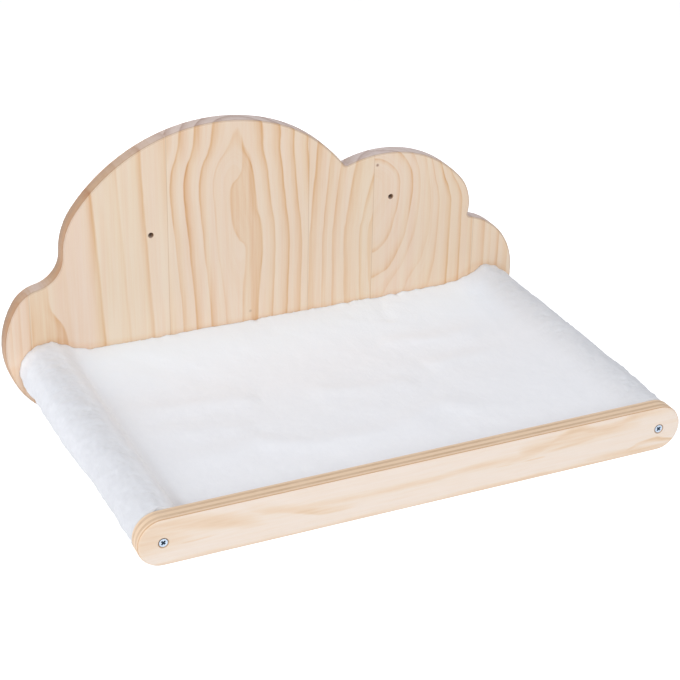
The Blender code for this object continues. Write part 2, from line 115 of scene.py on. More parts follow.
def stretched_noise(tree, place, swings, detail, roughness=0.5):
    """Noise with its own number of swings per metre along each axis, such as few along the grain."""
    stretched = add(tree, "Mapping", place, named={"Scale": swings})
    return add(tree, "TexNoise", stretched, named={"Scale": 1.0, "Detail": detail, "Roughness": roughness})


def off_axis(tree, x, z, axis_x, axis_z):
    """How far a point lies from a line along Y, in millimetres."""
    here = add(tree, "CombineXYZ", x, 0.0, z)
    return add(tree, "VectorMath", here, (axis_x, 0.0, axis_z), operation="DISTANCE").outputs["Value"]


def off_screw(tree, x, z):
    """How far a point lies from the nearer dowel's axis, which is also its screws' axis."""
    return off_axis(tree, add(tree, "Math", x, operation="ABSOLUTE"), z, DOWEL_X / MM, 0.0)


def drawn_curve(tree, position, points):
    """A smooth curve through (position, value) points, read at a node's value."""
    places = [p for p, v in points]
    values = [v for p, v in points]
    low = min(values)
    span = max(max(values) - low, 0.001)
    share = add(tree, "MapRange", position, places[0], places[-1], 0.0, 1.0)
    drawn = add(tree, "FloatCurve", 1.0, share)
    curve = drawn.mapping.curves[0]
    knots = [((p - places[0]) / (places[-1] - places[0]), (v - low) / span) for p, v in points]
    curve.points[0].location = knots[0]
    curve.points[1].location = knots[-1]
    for knot in knots[1:-1]:
        curve.points.new(*knot)
    for point in curve.points:
        point.handle_type = "AUTO_CLAMPED"
    drawn.mapping.update()
    return add(tree, "Math", drawn, span, low, operation="MULTIPLY_ADD")


# Edge-glued pine. Each stave is cut beside its own heart line: rings lie at equal distances round that line,
# and they are listed as (distance, darkness), so that a stave's figure on the face also runs through to its
# edges and its back. Heart and depth are given against height, and depth is how far the line lies before the
# face. A peak under 2 draws a cathedral's arches to a point, and a high sharpness keeps a ring's dark wood
# close to its outer edge. Past reach the depth bends the rings less and less, and there lean pulls their tops
# inwards.
STAVES = (
    {"left": -400, "peak": 2.0, "sharpness": 2.5,
     "heart": ((-60, -300), (90, -300)), "depth": ((-60, 6), (90, 6)),
     "rings": ((0, 0.2), (20, 0.4), (34, 0.3), (43, 0.5), (50, 0.4), (58, 0.35), (66, 0.7))},
    {"left": -234.5, "peak": 2.0, "sharpness": 5.0,
     "heart": ((-60, -308), (16, -312), (100, -317), (159, -320), (200, -321)),
     "depth": ((-60, 4), (200, 4)),
     "rings": ((60, 0.2), (117, 0.3), (146, 1.0), (169.5, 0.4), (191.5, 0.75), (214, 0.6))},
    {"left": -107.4, "peak": 1.75, "sharpness": 2.8,
     "heart": ((-60, -37.5), (10, -37.5), (40, -38), (93, -40.2), (131, -44), (160, -45.5), (181, -43.5),
               (198, -42), (215, -42)),
     "depth": ((-60, 17), (10, 14.2), (40, 11.8), (70, 6.5), (93, 1), (120, 5), (150, 7), (160, 10),
               (173, 16), (181, 19.4), (190, 20.9), (198, 21.9), (215, 24)),
     "rings": ((0, 0.2), (13, 0.1), (22.1, 0.4), (34.8, 0.8), (48.5, 0.85), (60.8, 0.75), (74, 0.8))},
    {"left": 26.8, "peak": 2.0, "sharpness": 2.5,
     "heart": ((-60, 108), (12, 108), (60, 110), (160, 110)),
     "depth": ((-60, 20), (12, 16), (40, 9), (70, 2), (95, 13), (118, 21), (145, 28), (178, 34)),
     "rings": ((0, 0.3), (24, 0.5), (32.5, 0.6), (48, 0.6), (60, 0.55), (70, 0.6), (83, 0.75), (96, 0.5))},
    {"left": 91.5, "peak": 2.0, "sharpness": 4.0, "reach": 40,
     "heart": ((-60, 88), (160, 88)),
     "depth": ((-60, 56), (0, 52), (16, 49), (33, 43), (39, 39), (49, 34.3), (60, 29), (69, 24), (77, 20.5),
               (88, 17), (100, 12), (109, 7), (120, 1), (128, 6), (136, 14), (145, 24), (153, 31), (160, 38)),
     "lean": ((90, 0), (96, 0), (111, 4), (123, 12), (136, 20), (150, 28)),
     "rings": ((0, 0.1), (21, 0.1), (30.7, 0.7), (44.3, 0.8), (52.7, 0.4), (64, 0.35), (72.5, 0.6),
               (85, 1.15), (96.5, 0.8), (109, 0.7))},
    {"left": 197.5, "peak": 2.0, "sharpness": 2.5,
     "heart": ((-60, 120), (90, 120)), "depth": ((-60, 8), (90, 8)),
     "rings": ((60, 0.3), (78, 0.5), (91, 0.55), (98, 0.25), (107, 0.6), (117.5, 0.65), (131, 0.5))},
)
# Flat patches, where the saw ran along the late wood: (height, x) of their sides, strength, and the heights
# between which they show. The first lies low on the left lobe, beside a glue line, and the second down the
# middle of the cathedral.
PATCHES = (
    {"left": ((0, -234.5), (100, -234.5)), "strength": 0.3, "heights": (6, 96),
     "right": ((0, -199), (10, -200), (30, -202), (40, -205), (50, -211), (60, -215.5), (80, -217),
               (100, -222))},
    {"left": ((-60, -39), (40, -38), (64, -36), (81, -35), (93, -41), (120, -49), (137, -50), (154, -42),
              (170, -38), (200, -39)), "strength": 0.28, "heights": (-60, 205),
     "right": ((-60, -22), (17, -21.7), (56, -19.4), (79, -17), (104, -17.8), (124, -23.3), (145, -24.8),
               (170, -28.8), (184, -35), (200, -39))},
)
# How pinkish the wood is, as (x, share)
PINKNESS = ((-250, 1.0), (-236, 0.9), (-231, 0.2), (-212, 0.3), (-203, 0.9), (-178, 0.7), (-165, 0.1),
            (-115, 0.4), (-60, 0.6), (0, 0.5), (60, 0.4), (88, 0.1), (96, 0.6), (125, 0.7), (150, 0.3),
            (245, 0.4))
# How strongly the late wood shows, as (height, share)
VIVIDNESS = ((-60, 0.95), (60, 0.9), (120, 1.05), (150, 1.15), (205, 1.2))
# Where the plush meets the board, as (x, height)
CONTACT = ((-245, 5), (-236, 20), (-220, 26), (-200, 20), (-185, 15), (-160, 13), (0, 11.5), (160, 12),
           (180, 15), (195, 22), (207, 26), (220, 24), (240, 10))
# Pin knots as (x, height, darkness), and the middles of the wall holes as (x, height)
PIN_KNOTS = ((94.5, 145.0, 0.75), (-30.0, 21.0, 0.3))
WALL_HOLES = ((-123.0, 112.0), (109.0, 112.0))
WALL_HOLE_RADIUS = 2.25
BOARD_MM = 15.0


def stave_late_wood(tree, x, inwards, z, wander, stave):
    """How much late wood there is at a point of one stave: it darkens through a ring and then breaks off."""
    heart = drawn_curve(tree, z, stave["heart"])
    depth = drawn_curve(tree, z, stave["depth"])
    across = add(tree, "Math", x, heart, operation="SUBTRACT")
    across = add(tree, "Math", across, operation="ABSOLUTE")
    lean = 0.0
    if "reach" in stave:
        far = add(tree, "MapRange", across, stave["reach"], stave["reach"] + 60.0, 0.0, 1.0,
                  interpolation_type="SMOOTHSTEP")
        near = add(tree, "Math", 1.0, far, operation="SUBTRACT")
        depth = add(tree, "Math", depth, near, operation="MULTIPLY")
        lean = add(tree, "Math", drawn_curve(tree, z, stave["lean"]), far, operation="MULTIPLY")
    depth = add(tree, "Math", depth, inwards, operation="ADD")
    across = add(tree, "Math", across, stave["peak"], operation="POWER")
    depth = add(tree, "Math", depth, stave["peak"], operation="POWER")
    distance = add(tree, "Math", across, depth, operation="ADD")
    distance = add(tree, "Math", distance, 1 / stave["peak"], operation="POWER")
    distance = add(tree, "Math", distance, lean, operation="ADD")
    distance = add(tree, "Math", distance, wander, operation="ADD")
    rings = stave["rings"]
    number = drawn_curve(tree, distance, [(place, i) for i, (place, dark) in enumerate(rings)])
    share = add(tree, "Math", number, operation="FRACT")
    late = add(tree, "Math", share, stave["sharpness"], operation="POWER")
    edge = add(tree, "MapRange", share, 0.92, 1.0, 1.0, 0.0)
    late = add(tree, "Math", late, edge, operation="MULTIPLY")
    late = add(tree, "Math", late, drawn_curve(tree, distance, rings), operation="MULTIPLY")
    # thin lines run along the rings, a few to each
    thread = add(tree, "Math", number, 5.0, operation="MULTIPLY")
    thread = add(tree, "CombineXYZ", thread, stave["left"], add(tree, "Math", z, 0.012, operation="MULTIPLY"))
    thread = add(tree, "TexNoise", thread, named={"Scale": 1.0, "Detail": 2.0})
    return add(tree, "Math", thread, 0.34, add(tree, "Math", late, -0.15, operation="ADD"),
               operation="MULTIPLY_ADD")


def flat_patch(tree, x, z, patch):
    """How strongly a flat patch of late wood tints a point: darkest along its crisp sides, with soft ends."""
    left = drawn_curve(tree, z, patch["left"])
    right = drawn_curve(tree, z, patch["right"])
    left = add(tree, "Math", x, left, operation="SUBTRACT")
    right = add(tree, "Math", right, x, operation="SUBTRACT")
    inside = add(tree, "Math", left, right, operation="MINIMUM")
    inside = add(tree, "MapRange", inside, 0.0, 1.5, 0.0, patch["strength"])
    low, high = patch["heights"]
    rims = (right, 0.0, 8.0, 1.9, 1.0), (left, 0.5, 4.0, 2.0, 1.0)
    ends = (z, low, low + 14.0, 0.0, 1.0), (z, high - 50.0, high, 1.0, 0.4)
    for limits in rims + ends:
        share = add(tree, "MapRange", *limits)
        inside = add(tree, "Math", inside, share, operation="MULTIPLY")
    return inside


def edge_glued_pine():
    """Sanded bare pine: pale early wood, orange-brown late-wood lines, darker and greyer end grain."""
    mat, tree, shader = new_material("edge-glued pine, sanded", 0.55)
    place, x, y, z = object_place(tree)
    inwards = add(tree, "Math", y, BOARD_MM, operation="ADD")

    # the rings wander by a millimetre or so over a hand's breadth, and shiver a little in between
    drift = stretched_noise(tree, place, (24.0, 24.0, 11.0), 1.0)
    wander = add(tree, "Math", drift, 2.4, -1.7, operation="MULTIPLY_ADD")
    shiver = stretched_noise(tree, place, (150.0, 150.0, 55.0), 2.0)
    wander = add(tree, "Math", shiver, 1.1, wander, operation="MULTIPLY_ADD")

    late = None
    joint = None
    for stave in STAVES:
        own = stave_late_wood(tree, x, inwards, z, wander, stave)
        if late is None:
            late = own
            continue
        beyond = add(tree, "Math", x, stave["left"], operation="GREATER_THAN")
        late = add(tree, "Mix", named={0: beyond, 2: late, 3: own})
        off = add(tree, "Math", x, stave["left"], operation="SUBTRACT")
        off = add(tree, "Math", off, operation="ABSOLUTE")
        joint = off if joint is None else add(tree, "Math", joint, off, operation="MINIMUM")

    # fibres run upright: a streak is a millimetre wide or less and some centimetres long, a band broader
    fibre = stretched_noise(tree, place, (600.0, 600.0, 16.0), 4.0, 0.65)
    band = stretched_noise(tree, place, (150.0, 150.0, 5.0), 3.0)
    uneven = add(tree, "MapRange", band, 0.3, 0.7, 0.55, 1.45)
    vivid = add(tree, "MapRange", band, 0.3, 0.7, 0.8, 1.2)
    vivid = add(tree, "Math", drawn_curve(tree, z, VIVIDNESS), vivid, operation="MULTIPLY")
    late = add(tree, "Math", late, vivid, operation="MULTIPLY")
    for patch in PATCHES:
        own = add(tree, "Math", flat_patch(tree, x, z, patch), uneven, operation="MULTIPLY")
        late = add(tree, "Math", late, own, operation="ADD")

    for texture, strength, base in ((fibre, 0.38, -0.14), (band, 0.36, -0.18)):
        streak = add(tree, "Math", texture, strength, base, operation="MULTIPLY_ADD")
        late = add(tree, "Math", late, streak, operation="ADD")

    colour = add(tree, "ValToRGB", late)
    ramp = colour.color_ramp
    ramp.elements[0].color = linear("#ECDCC9")
    ramp.elements[1].color = linear("#D2A374")
    ramp.elements[1].position = 1.0
    for position, code in ((0.2, "#EAD6BE"), (0.5, "#E5C9A9"), (0.8, "#DDB88F")):
        ramp.elements.new(position).color = linear(code)

    # broad warm and cool clouds keep two staves from looking the same
    cloud = stretched_noise(tree, place, (9.0, 9.0, 4.0), 2.0)
    cloud = add(tree, "MapRange", cloud, 0.3, 0.7, 0.0, 0.3)
    colour = add(tree, "MixRGB", cloud, colour, linear("#F3E3D3"), blend_type="MULTIPLY")
    # the wood is pinkish in some staves and upright bands and yellowish in others
    pink = add(tree, "Math", band, 1.6, drawn_curve(tree, x, PINKNESS), operation="MULTIPLY_ADD")
    pink = add(tree, "MapRange", pink, 0.8, 1.8, 0.0, 1.0)
    tint = add(tree, "MixRGB", pink, linear("#FFFEF9"), linear("#FFFAFA"))
    colour = add(tree, "MixRGB", 1.0, colour, tint, blend_type="MULTIPLY")

    # the glue lines are hair-thin and only a little darker
    seam = add(tree, "MapRange", joint, 0.1, 0.45, 0.3, 0.0)
    colour = add(tree, "MixRGB", seam, colour, linear("#A97B4E"))

    for knot_x, knot_z, strength in PIN_KNOTS:
        dark = add(tree, "MapRange", off_axis(tree, x, z, knot_x, knot_z), 0.5, 1.9, strength, 0.0)
        colour = add(tree, "MixRGB", dark, colour, linear("#7A4A2C"))

    # sawn edges: browner where the saw ran with the grain, and greyer across its ends, where the rings are
    # dark lines. Partly this is the edges' own colour and partly painted shade, cool grey on the upright
    # ends;
    # those facing left, high up, get the most painted shade and are the brownest.
    normal = add(tree, "TexCoord").outputs["Normal"]
    facing_x, facing_y, facing_z = add(tree, "SeparateXYZ", normal).outputs
    flat = add(tree, "Math", facing_y, operation="ABSOLUTE")
    sawn = add(tree, "MapRange", flat, 0.5, 0.95, 1.0, 0.0)
    colour = add(tree, "MixRGB", sawn, colour, linear("#D1BBA5"), blend_type="MULTIPLY")
    left_side = add(tree, "MapRange", facing_x, -0.75, -0.25, 1.0, 0.0)
    upright = add(tree, "Math", facing_z, operation="ABSOLUTE")
    across = add(tree, "MapRange", upright, 0.45, 0.95, 0.0, 1.0)
    across = add(tree, "Math", across, sawn, operation="MULTIPLY")
    # the grey on the upright ends is partly end grain and partly painted cool shade
    grey = add(tree, "MapRange", left_side, 0.0, 1.0, 0.62, 0.2)
    grey = add(tree, "Math", across, grey, operation="MULTIPLY")
    end_grain = add(tree, "MixRGB", late, linear("#DED8DB"), linear("#A4999A"))
    warm = add(tree, "MapRange", x, -190.0, 0.0, 1.0, 0.0)
    end_grain = add(tree, "MixRGB", warm, end_grain, linear("#F3EADF"), blend_type="MULTIPLY")
    colour = add(tree, "MixRGB", grey, colour, end_grain)
    # painted shade: a browner tint on the edges that face left, high up
    left_edge_shade = add(tree, "Math", left_side, sawn, operation="MULTIPLY")
    high = add(tree, "MapRange", z, 10.0, 36.0, 0.0, 0.45)
    left_edge_shade = add(tree, "Math", left_edge_shade, high, operation="MULTIPLY")
    colour = add(tree, "MixRGB", left_edge_shade, colour, linear("#D2BDA0"), blend_type="MULTIPLY")

    # the back half of the edge is darker where it runs with the grain. Both arrises carry a thin brown line
    # and painted shade, where their rounding faces the lamps.
    back_half_darker = add(tree, "MapRange", inwards, 5.0, 11.0, 0.0, 0.5)
    along = add(tree, "Math", 1.0, across, operation="SUBTRACT")
    for share in (along, sawn):
        back_half_darker = add(tree, "Math", back_half_darker, share, operation="MULTIPLY")
    colour = add(tree, "MixRGB", back_half_darker, colour, linear("#8F8072"))
    # painted shade on both arrises, over their thin brown line
    off_middle = add(tree, "Math", inwards, BOARD_MM / 2, operation="SUBTRACT")
    off_middle = add(tree, "Math", off_middle, operation="ABSOLUTE")
    arris = add(tree, "MapRange", off_middle, BOARD_MM / 2 - 1.3, BOARD_MM / 2 - 0.5, 0.0, 0.6)
    off_face = add(tree, "MapRange", flat, 0.85, 0.98, 1.0, 0.0)
    arris = add(tree, "Math", arris, off_face, operation="MULTIPLY")
    colour = add(tree, "MixRGB", arris, colour, linear("#86684F"))

    # along the plush the wood gets a painted contact shadow, warmed by painted light bounced off the cloth
    contact_shade = add(tree, "Math", z, drawn_curve(tree, x, CONTACT), operation="SUBTRACT")
    contact_shade = add(tree, "MapRange", contact_shade, 0.0, 6.0, 0.22, 0.0, interpolation_type="SMOOTHSTEP")
    on_front = add(tree, "MapRange", inwards, 1.0, 0.1, 0.0, 1.0)
    contact_shade = add(tree, "Math", contact_shade, on_front, operation="MULTIPLY")
    colour = add(tree, "MixRGB", contact_shade, colour, linear("#F0CDA2"), blend_type="MULTIPLY")

    # painted shade darkens the wall holes from a few millimetres below the face
    in_hole = add(tree, "MapRange", inwards, 1.0, 5.0, 0.0, 0.6)
    in_hole = add(tree, "Math", in_hole, sawn, operation="MULTIPLY")
    for hole_x, hole_z in WALL_HOLES:
        off = add(tree, "Math", off_axis(tree, x, z, hole_x, hole_z), WALL_HOLE_RADIUS, operation="SUBTRACT")
        hole_shade = add(tree, "MapRange", off, 0.05, 0.35, 1.0, 0.0)
        hole_shade = add(tree, "Math", hole_shade, in_hole, operation="MULTIPLY")
        colour = add(tree, "MixRGB", hole_shade, colour, linear("#6E4E36"))

    height = add(tree, "Math", fibre, late, operation="SUBTRACT")
    finish_surface(tree, shader, colour, 0.25, 0.08 * MM, height)
    return mat


# Bands of late wood on the rail's face, in millimetres: the middle of each as (x, z), how dark it is along
# its length as (x, darkness), and how far it fades out above and below
RAIL_BANDS = (
    {"line": ((-245, 15), (-220, 13), (-200, 11), (-180, 8), (-165, 5), (-150, 1.5), (-133, -1)),
     "dark": ((-245, 0.5), (-200, 0.6), (-175, 0.65), (-160, 0.55), (-145, 0.25), (-133, 0)),
     "fade": (12, 9)},
    {"line": ((-245, 4), (-190, 4)),
     "dark": ((-245, 0.6), (-222, 0.5), (-205, 0.3), (-190, 0)), "fade": (20, 18)},
    {"line": ((-155, 12), (-132, 6), (-112, 0.5), (-100, -3), (-88, -6), (-76, -6.5), (-58, -6)),
     "dark": ((-155, 0), (-140, 0.3), (-120, 0.5), (-103, 0.7), (-90, 0.65), (-78, 0.4), (-58, 0)),
     "fade": (9, 2.4)},
    {"line": ((-145, 6.5), (-110, 3.5), (-70, 1.5), (-30, 0.5), (0, 1), (20, 2.5), (60, 4), (92, 4)),
     "dark": ((-145, 0), (-120, 0.35), (-90, 0.3), (-60, 0.4), (-30, 0.4), (0, 0.45), (40, 0.45), (70, 0.4),
              (92, 0.1)), "fade": (5, 4)},
    {"line": ((68, 1.5), (90, 3.5), (110, 8), (125, 14), (140, 16.5), (152, 14), (165, 12), (178, 13),
              (190, 16.5), (210, 19), (245, 19)),
     "dark": ((68, 0.1), (90, 0.5), (115, 0.6), (137, 0.95), (150, 0.8), (165, 0.7), (185, 0.7), (200, 0.5),
              (225, 0.3), (245, 0.1)), "fade": (5.5, 6)},
    {"line": ((82, 6), (120, 9), (150, 8), (205, 12)),
     "dark": ((82, 0), (102, 0.5), (130, 0.5), (160, 0.4), (190, 0.25), (205, 0)), "fade": (12, 8)},
    {"line": ((100, 2), (125, 3), (150, 5), (168, 8), (190, 13)),
     "dark": ((100, 0), (118, 0.4), (142, 0.7), (158, 0.4), (185, 0.3), (190, 0)), "fade": (2.4, 2.4)},
    {"line": ((60, -1), (80, -1.2), (110, -1.5)),
     "dark": ((60, 0), (75, 0.4), (85, 0.1), (97, 0.55), (104, 0.5), (110, 0)), "fade": (1.2, 1.2)},
    {"line": ((-208, -4.2), (-165, -3.6)),
     "dark": ((-208, 0), (-196, 0.6), (-186, 0.5), (-176, 0.15), (-165, 0)), "fade": (1.2, 1.2)},
    {"line": ((165, -19), (180, -16.5), (192, -13), (203, -9), (214, -7.8), (224, -9.5), (234, -12.5),
              (245, -16)),
     "dark": ((165, 0.4), (185, 0.6), (200, 0.6), (215, 0.85), (228, 1.0), (245, 0.8)), "fade": (1.8, 4.5)},
    {"line": ((145, -17), (190, -16), (245, -18)),
     "dark": ((145, 0), (170, 0.55), (200, 0.65), (222, 0.5), (245, 0.2)), "fade": (5, 4)},
    {"line": ((-245, -19), (245, -19)),
     "dark": ((-245, 0.4), (0, 0.4), (100, 0.7), (245, 0.6)), "fade": (4, 2)},
)
PLY_MM = 3.0


def pine_plywood():
    """Pine-faced plywood, 5 plies of 3 mm: long soft figure on the face, light and dark plies on the edge."""
    mat, tree, shader = new_material("pine plywood, sanded", 0.55)
    place, x, y, z = object_place(tree)

    # the bands waver by a millimetre or two, and break up into strokes along the rail
    drift = stretched_noise(tree, place, (22.0, 30.0, 90.0), 3.0)
    wander = add(tree, "Math", drift, 3.6, -1.8, operation="MULTIPLY_ADD")
    stroke = stretched_noise(tree, place, (26.0, 300.0, 330.0), 3.0, 0.6)
    broken = add(tree, "MapRange", stroke, 0.34, 0.66, 0.72, 1.2)
    late = None
    for band in RAIL_BANDS:
        middle = drawn_curve(tree, x, band["line"])
        above = add(tree, "Math", z, middle, operation="SUBTRACT")
        above = add(tree, "Math", above, wander, operation="ADD")
        fade_up, fade_down = band["fade"]
        upper = add(tree, "MapRange", above, 0.0, fade_up, 1.0, 0.0, interpolation_type="SMOOTHSTEP")
        lower = add(tree, "MapRange", above, -fade_down, 0.0, 0.0, 1.0, interpolation_type="SMOOTHSTEP")
        own = add(tree, "Math", upper, lower, operation="MULTIPLY")
        own = add(tree, "Math", own, drawn_curve(tree, x, band["dark"]), operation="MULTIPLY")
        late = own if late is None else add(tree, "Math", late, own, operation="MAXIMUM")
    late = add(tree, "Math", late, broken, operation="MULTIPLY")
    mottle = add(tree, "Math", stroke, 0.4, -0.15, operation="MULTIPLY_ADD")
    late = add(tree, "Math", late, mottle, operation="ADD")

    fibre = stretched_noise(tree, place, (16.0, 1000.0, 900.0), 4.0, 0.65)
    streak = add(tree, "Math", fibre, 0.3, -0.15, operation="MULTIPLY_ADD")
    late = add(tree, "Math", late, streak, operation="ADD")
    face = add(tree, "ValToRGB", late)
    ramp = face.color_ramp
    ramp.elements[0].color = linear("#F2E4D6")
    ramp.elements[1].color = linear("#E4C7A6")
    for position, code in ((0.3, "#EFDBC5"), (0.6, "#ECD3B8")):
        ramp.elements.new(position).color = linear(code)

    # the edge: every second ply is cut across its grain and looks darker, in some places more than in others
    pair = add(tree, "Math", y, RAIL_BACK_Y / MM, operation="SUBTRACT")
    pair = add(tree, "Math", pair, -0.5 / PLY_MM, operation="MULTIPLY")
    turn = add(tree, "Math", pair, operation="FRACT")
    crosswise = add(tree, "MapRange", turn, 0.5, 0.56, 0.0, 1.0)
    over = add(tree, "MapRange", turn, 0.94, 1.0, 1.0, 0.0)
    crosswise = add(tree, "Math", crosswise, over, operation="MULTIPLY")
    over = add(tree, "MapRange", drift, 0.35, 0.65, 0.65, 1.15)
    crosswise = add(tree, "Math", crosswise, over, operation="MULTIPLY")
    grain = stretched_noise(tree, place, (220.0, 1400.0, 500.0), 3.0)
    long_ply = add(tree, "MixRGB", grain, linear("#EAD2B8"), linear("#DCC09F"))
    cross_ply = add(tree, "MixRGB", grain, linear("#D8BC9C"), linear("#BF9D7B"))
    edge_colour = add(tree, "MixRGB", crosswise, long_ply, cross_ply)

    facing = add(tree, "SeparateXYZ", add(tree, "TexCoord").outputs["Normal"])
    flat = add(tree, "Math", facing.outputs["Y"], operation="ABSOLUTE")
    on_edge = add(tree, "MapRange", flat, 0.6, 0.95, 1.0, 0.0)
    colour = add(tree, "MixRGB", on_edge, face, edge_colour)

    # a brown line runs along the front arris, partly its own and partly painted shade where its rounding
    # faces the lamps
    front = RAIL_FRONT_Y / MM
    arris = add(tree, "MapRange", y, front + 1.0, front + 1.7, 0.8, 0.0)
    arris = add(tree, "Math", arris, on_edge, operation="MULTIPLY")
    colour = add(tree, "MixRGB", arris, colour, linear("#C0946A"))

    # painted shade on the countersinks' walls, in the gaps round the screw heads
    countersink_shade = add(tree, "MapRange", off_screw(tree, x, z), 4.6, 4.9, 0.25, 0.0)
    below = add(tree, "MapRange", y, front + 0.05, front + 0.3, 0.0, 1.0)
    countersink_shade = add(tree, "Math", countersink_shade, below, operation="MULTIPLY")
    colour = add(tree, "MixRGB", countersink_shade, colour, linear("#4B3C32"))
    finish_surface(tree, shader, colour, 0.25, 0.08 * MM, fibre)
    return mat


def turned_beech():
    """Turned beech dowel: even tan wood with short dark flecks along its length."""
    mat, tree, shader = new_material("turned beech, bare", 0.6)
    place = add(tree, "TexCoord").outputs["Object"]
    grain = stretched_noise(tree, place, (500.0, 14.0, 500.0), 4.0, 0.7)
    fleck = add(tree, "Mapping", place, named={"Scale": (900.0, 130.0, 900.0)})
    fleck = add(tree, "TexVoronoi", fleck, named={"Scale": 1.0})
    colour = add(tree, "MixRGB", grain, linear("#DDB98D"), linear("#C59A6B"))
    mark = add(tree, "MapRange", fleck, 0.0, 0.22, 0.45, 0.0)
    colour = add(tree, "MixRGB", mark, colour, linear("#A87747"))
    finish_surface(tree, shader, colour, 0.3, 0.1 * MM, grain)
    return mat


# How deep the screw heads' tops lie below the faces of the rail and the board
HEAD_SINK_MM = 0.3


def blue_zinc():
    """Bright blue-passivated zinc plate: a cold mirror with faint forming marks. The driver's recess is dull,
    and dark with some grime and painted shade."""
    mat, tree, shader = new_material("zinc plate, blue passivated", 0.3, metallic=1.0)
    place, x, y, z = object_place(tree)
    patch = add(tree, "TexNoise", place, named={"Scale": 420.0, "Detail": 3.0})
    colour = add(tree, "MixRGB", patch, linear("#CDD9E6"), linear("#A9BACD"))

    # the front and the rear heads' tops lie equally far from the middle of the bed's whole depth
    half_depth = -RAIL_FRONT_Y / MM / 2
    deep = add(tree, "Math", y, half_depth, operation="ADD")
    deep = add(tree, "Math", deep, operation="ABSOLUTE")
    deep = add(tree, "Math", half_depth - HEAD_SINK_MM, deep, operation="SUBTRACT")
    deep = add(tree, "MapRange", deep, 0.02, 0.3, 0.0, 1.0)
    # the driver's recess is duller and darker: some grime and painted shade
    recess = add(tree, "MapRange", off_screw(tree, x, z), 2.3, 2.6, 0.9, 0.0)
    recess = add(tree, "Math", recess, deep, operation="MULTIPLY")
    colour = add(tree, "MixRGB", recess, colour, linear("#34506A"))
    rough = add(tree, "MapRange", recess, 0.0, 1.0, 0.3, 0.7)
    tree.links.new(rough.outputs[0], shader.inputs["Roughness"])
    scratch = add(tree, "TexNoise", place, named={"Scale": 2600.0, "Detail": 2.0})
    finish_surface(tree, shader, colour, 0.15, 0.03 * MM, scratch)
    return mat


def cotton_canvas():
    """Undyed plain-weave cotton: threads 1.2 mm apart that pass over and under each other."""
    mat, tree, shader = new_material("cotton canvas, plain weave", 0.9)
    shader.inputs["Sheen Weight"].default_value = 0.15
    spacing = 1.2 * MM
    place = add(tree, "TexCoord").outputs["Object"]
    turns = add(tree, "VectorMath", place, named={"Scale": pi / spacing}, operation="SCALE")
    axes = add(tree, "SeparateXYZ", turns)
    warp = add(tree, "Math", axes.outputs["X"], operation="SINE")
    weft = add(tree, "Math", axes.outputs["Y"], operation="SINE")
    over = add(tree, "Math", warp, weft, operation="MULTIPLY")
    over = add(tree, "Math", over, operation="ABSOLUTE")
    slub = add(tree, "TexNoise", place, named={"Scale": 160.0, "Detail": 3.0})
    slub = add(tree, "Math", slub, 0.25, operation="MULTIPLY")
    colour = add(tree, "MixRGB", over, linear("#BDB4A0"), linear("#DCD5C4"))
    colour = add(tree, "MixRGB", slub, colour, linear("#C9BEA6"), blend_type="MULTIPLY")
    finish_surface(tree, shader, colour, 0.6, 0.3 * MM, over)
    return mat


# The seam beside the left sleeve, as (y, x): it runs a little askew
SEAM_LINE = ((-295, -196), (-268, -198), (-80, -204), (-15, -205))
# How light the pile is painted across the bed, as (x, share): painted shade, darkest round the dowels
PILE_SHADE = ((-241, 0.85), (-234, 0.79), (-228, 0.79), (-222, 0.82), (-216, 0.87), (-210, 0.95), (-202, 0.97),
       (-194, 1.0), (172, 1.0), (180, 0.975), (186, 0.945), (192, 0.915), (198, 0.88), (204, 0.83),
       (210, 0.8), (216, 0.8), (222, 0.82), (230, 0.82), (241, 0.85))


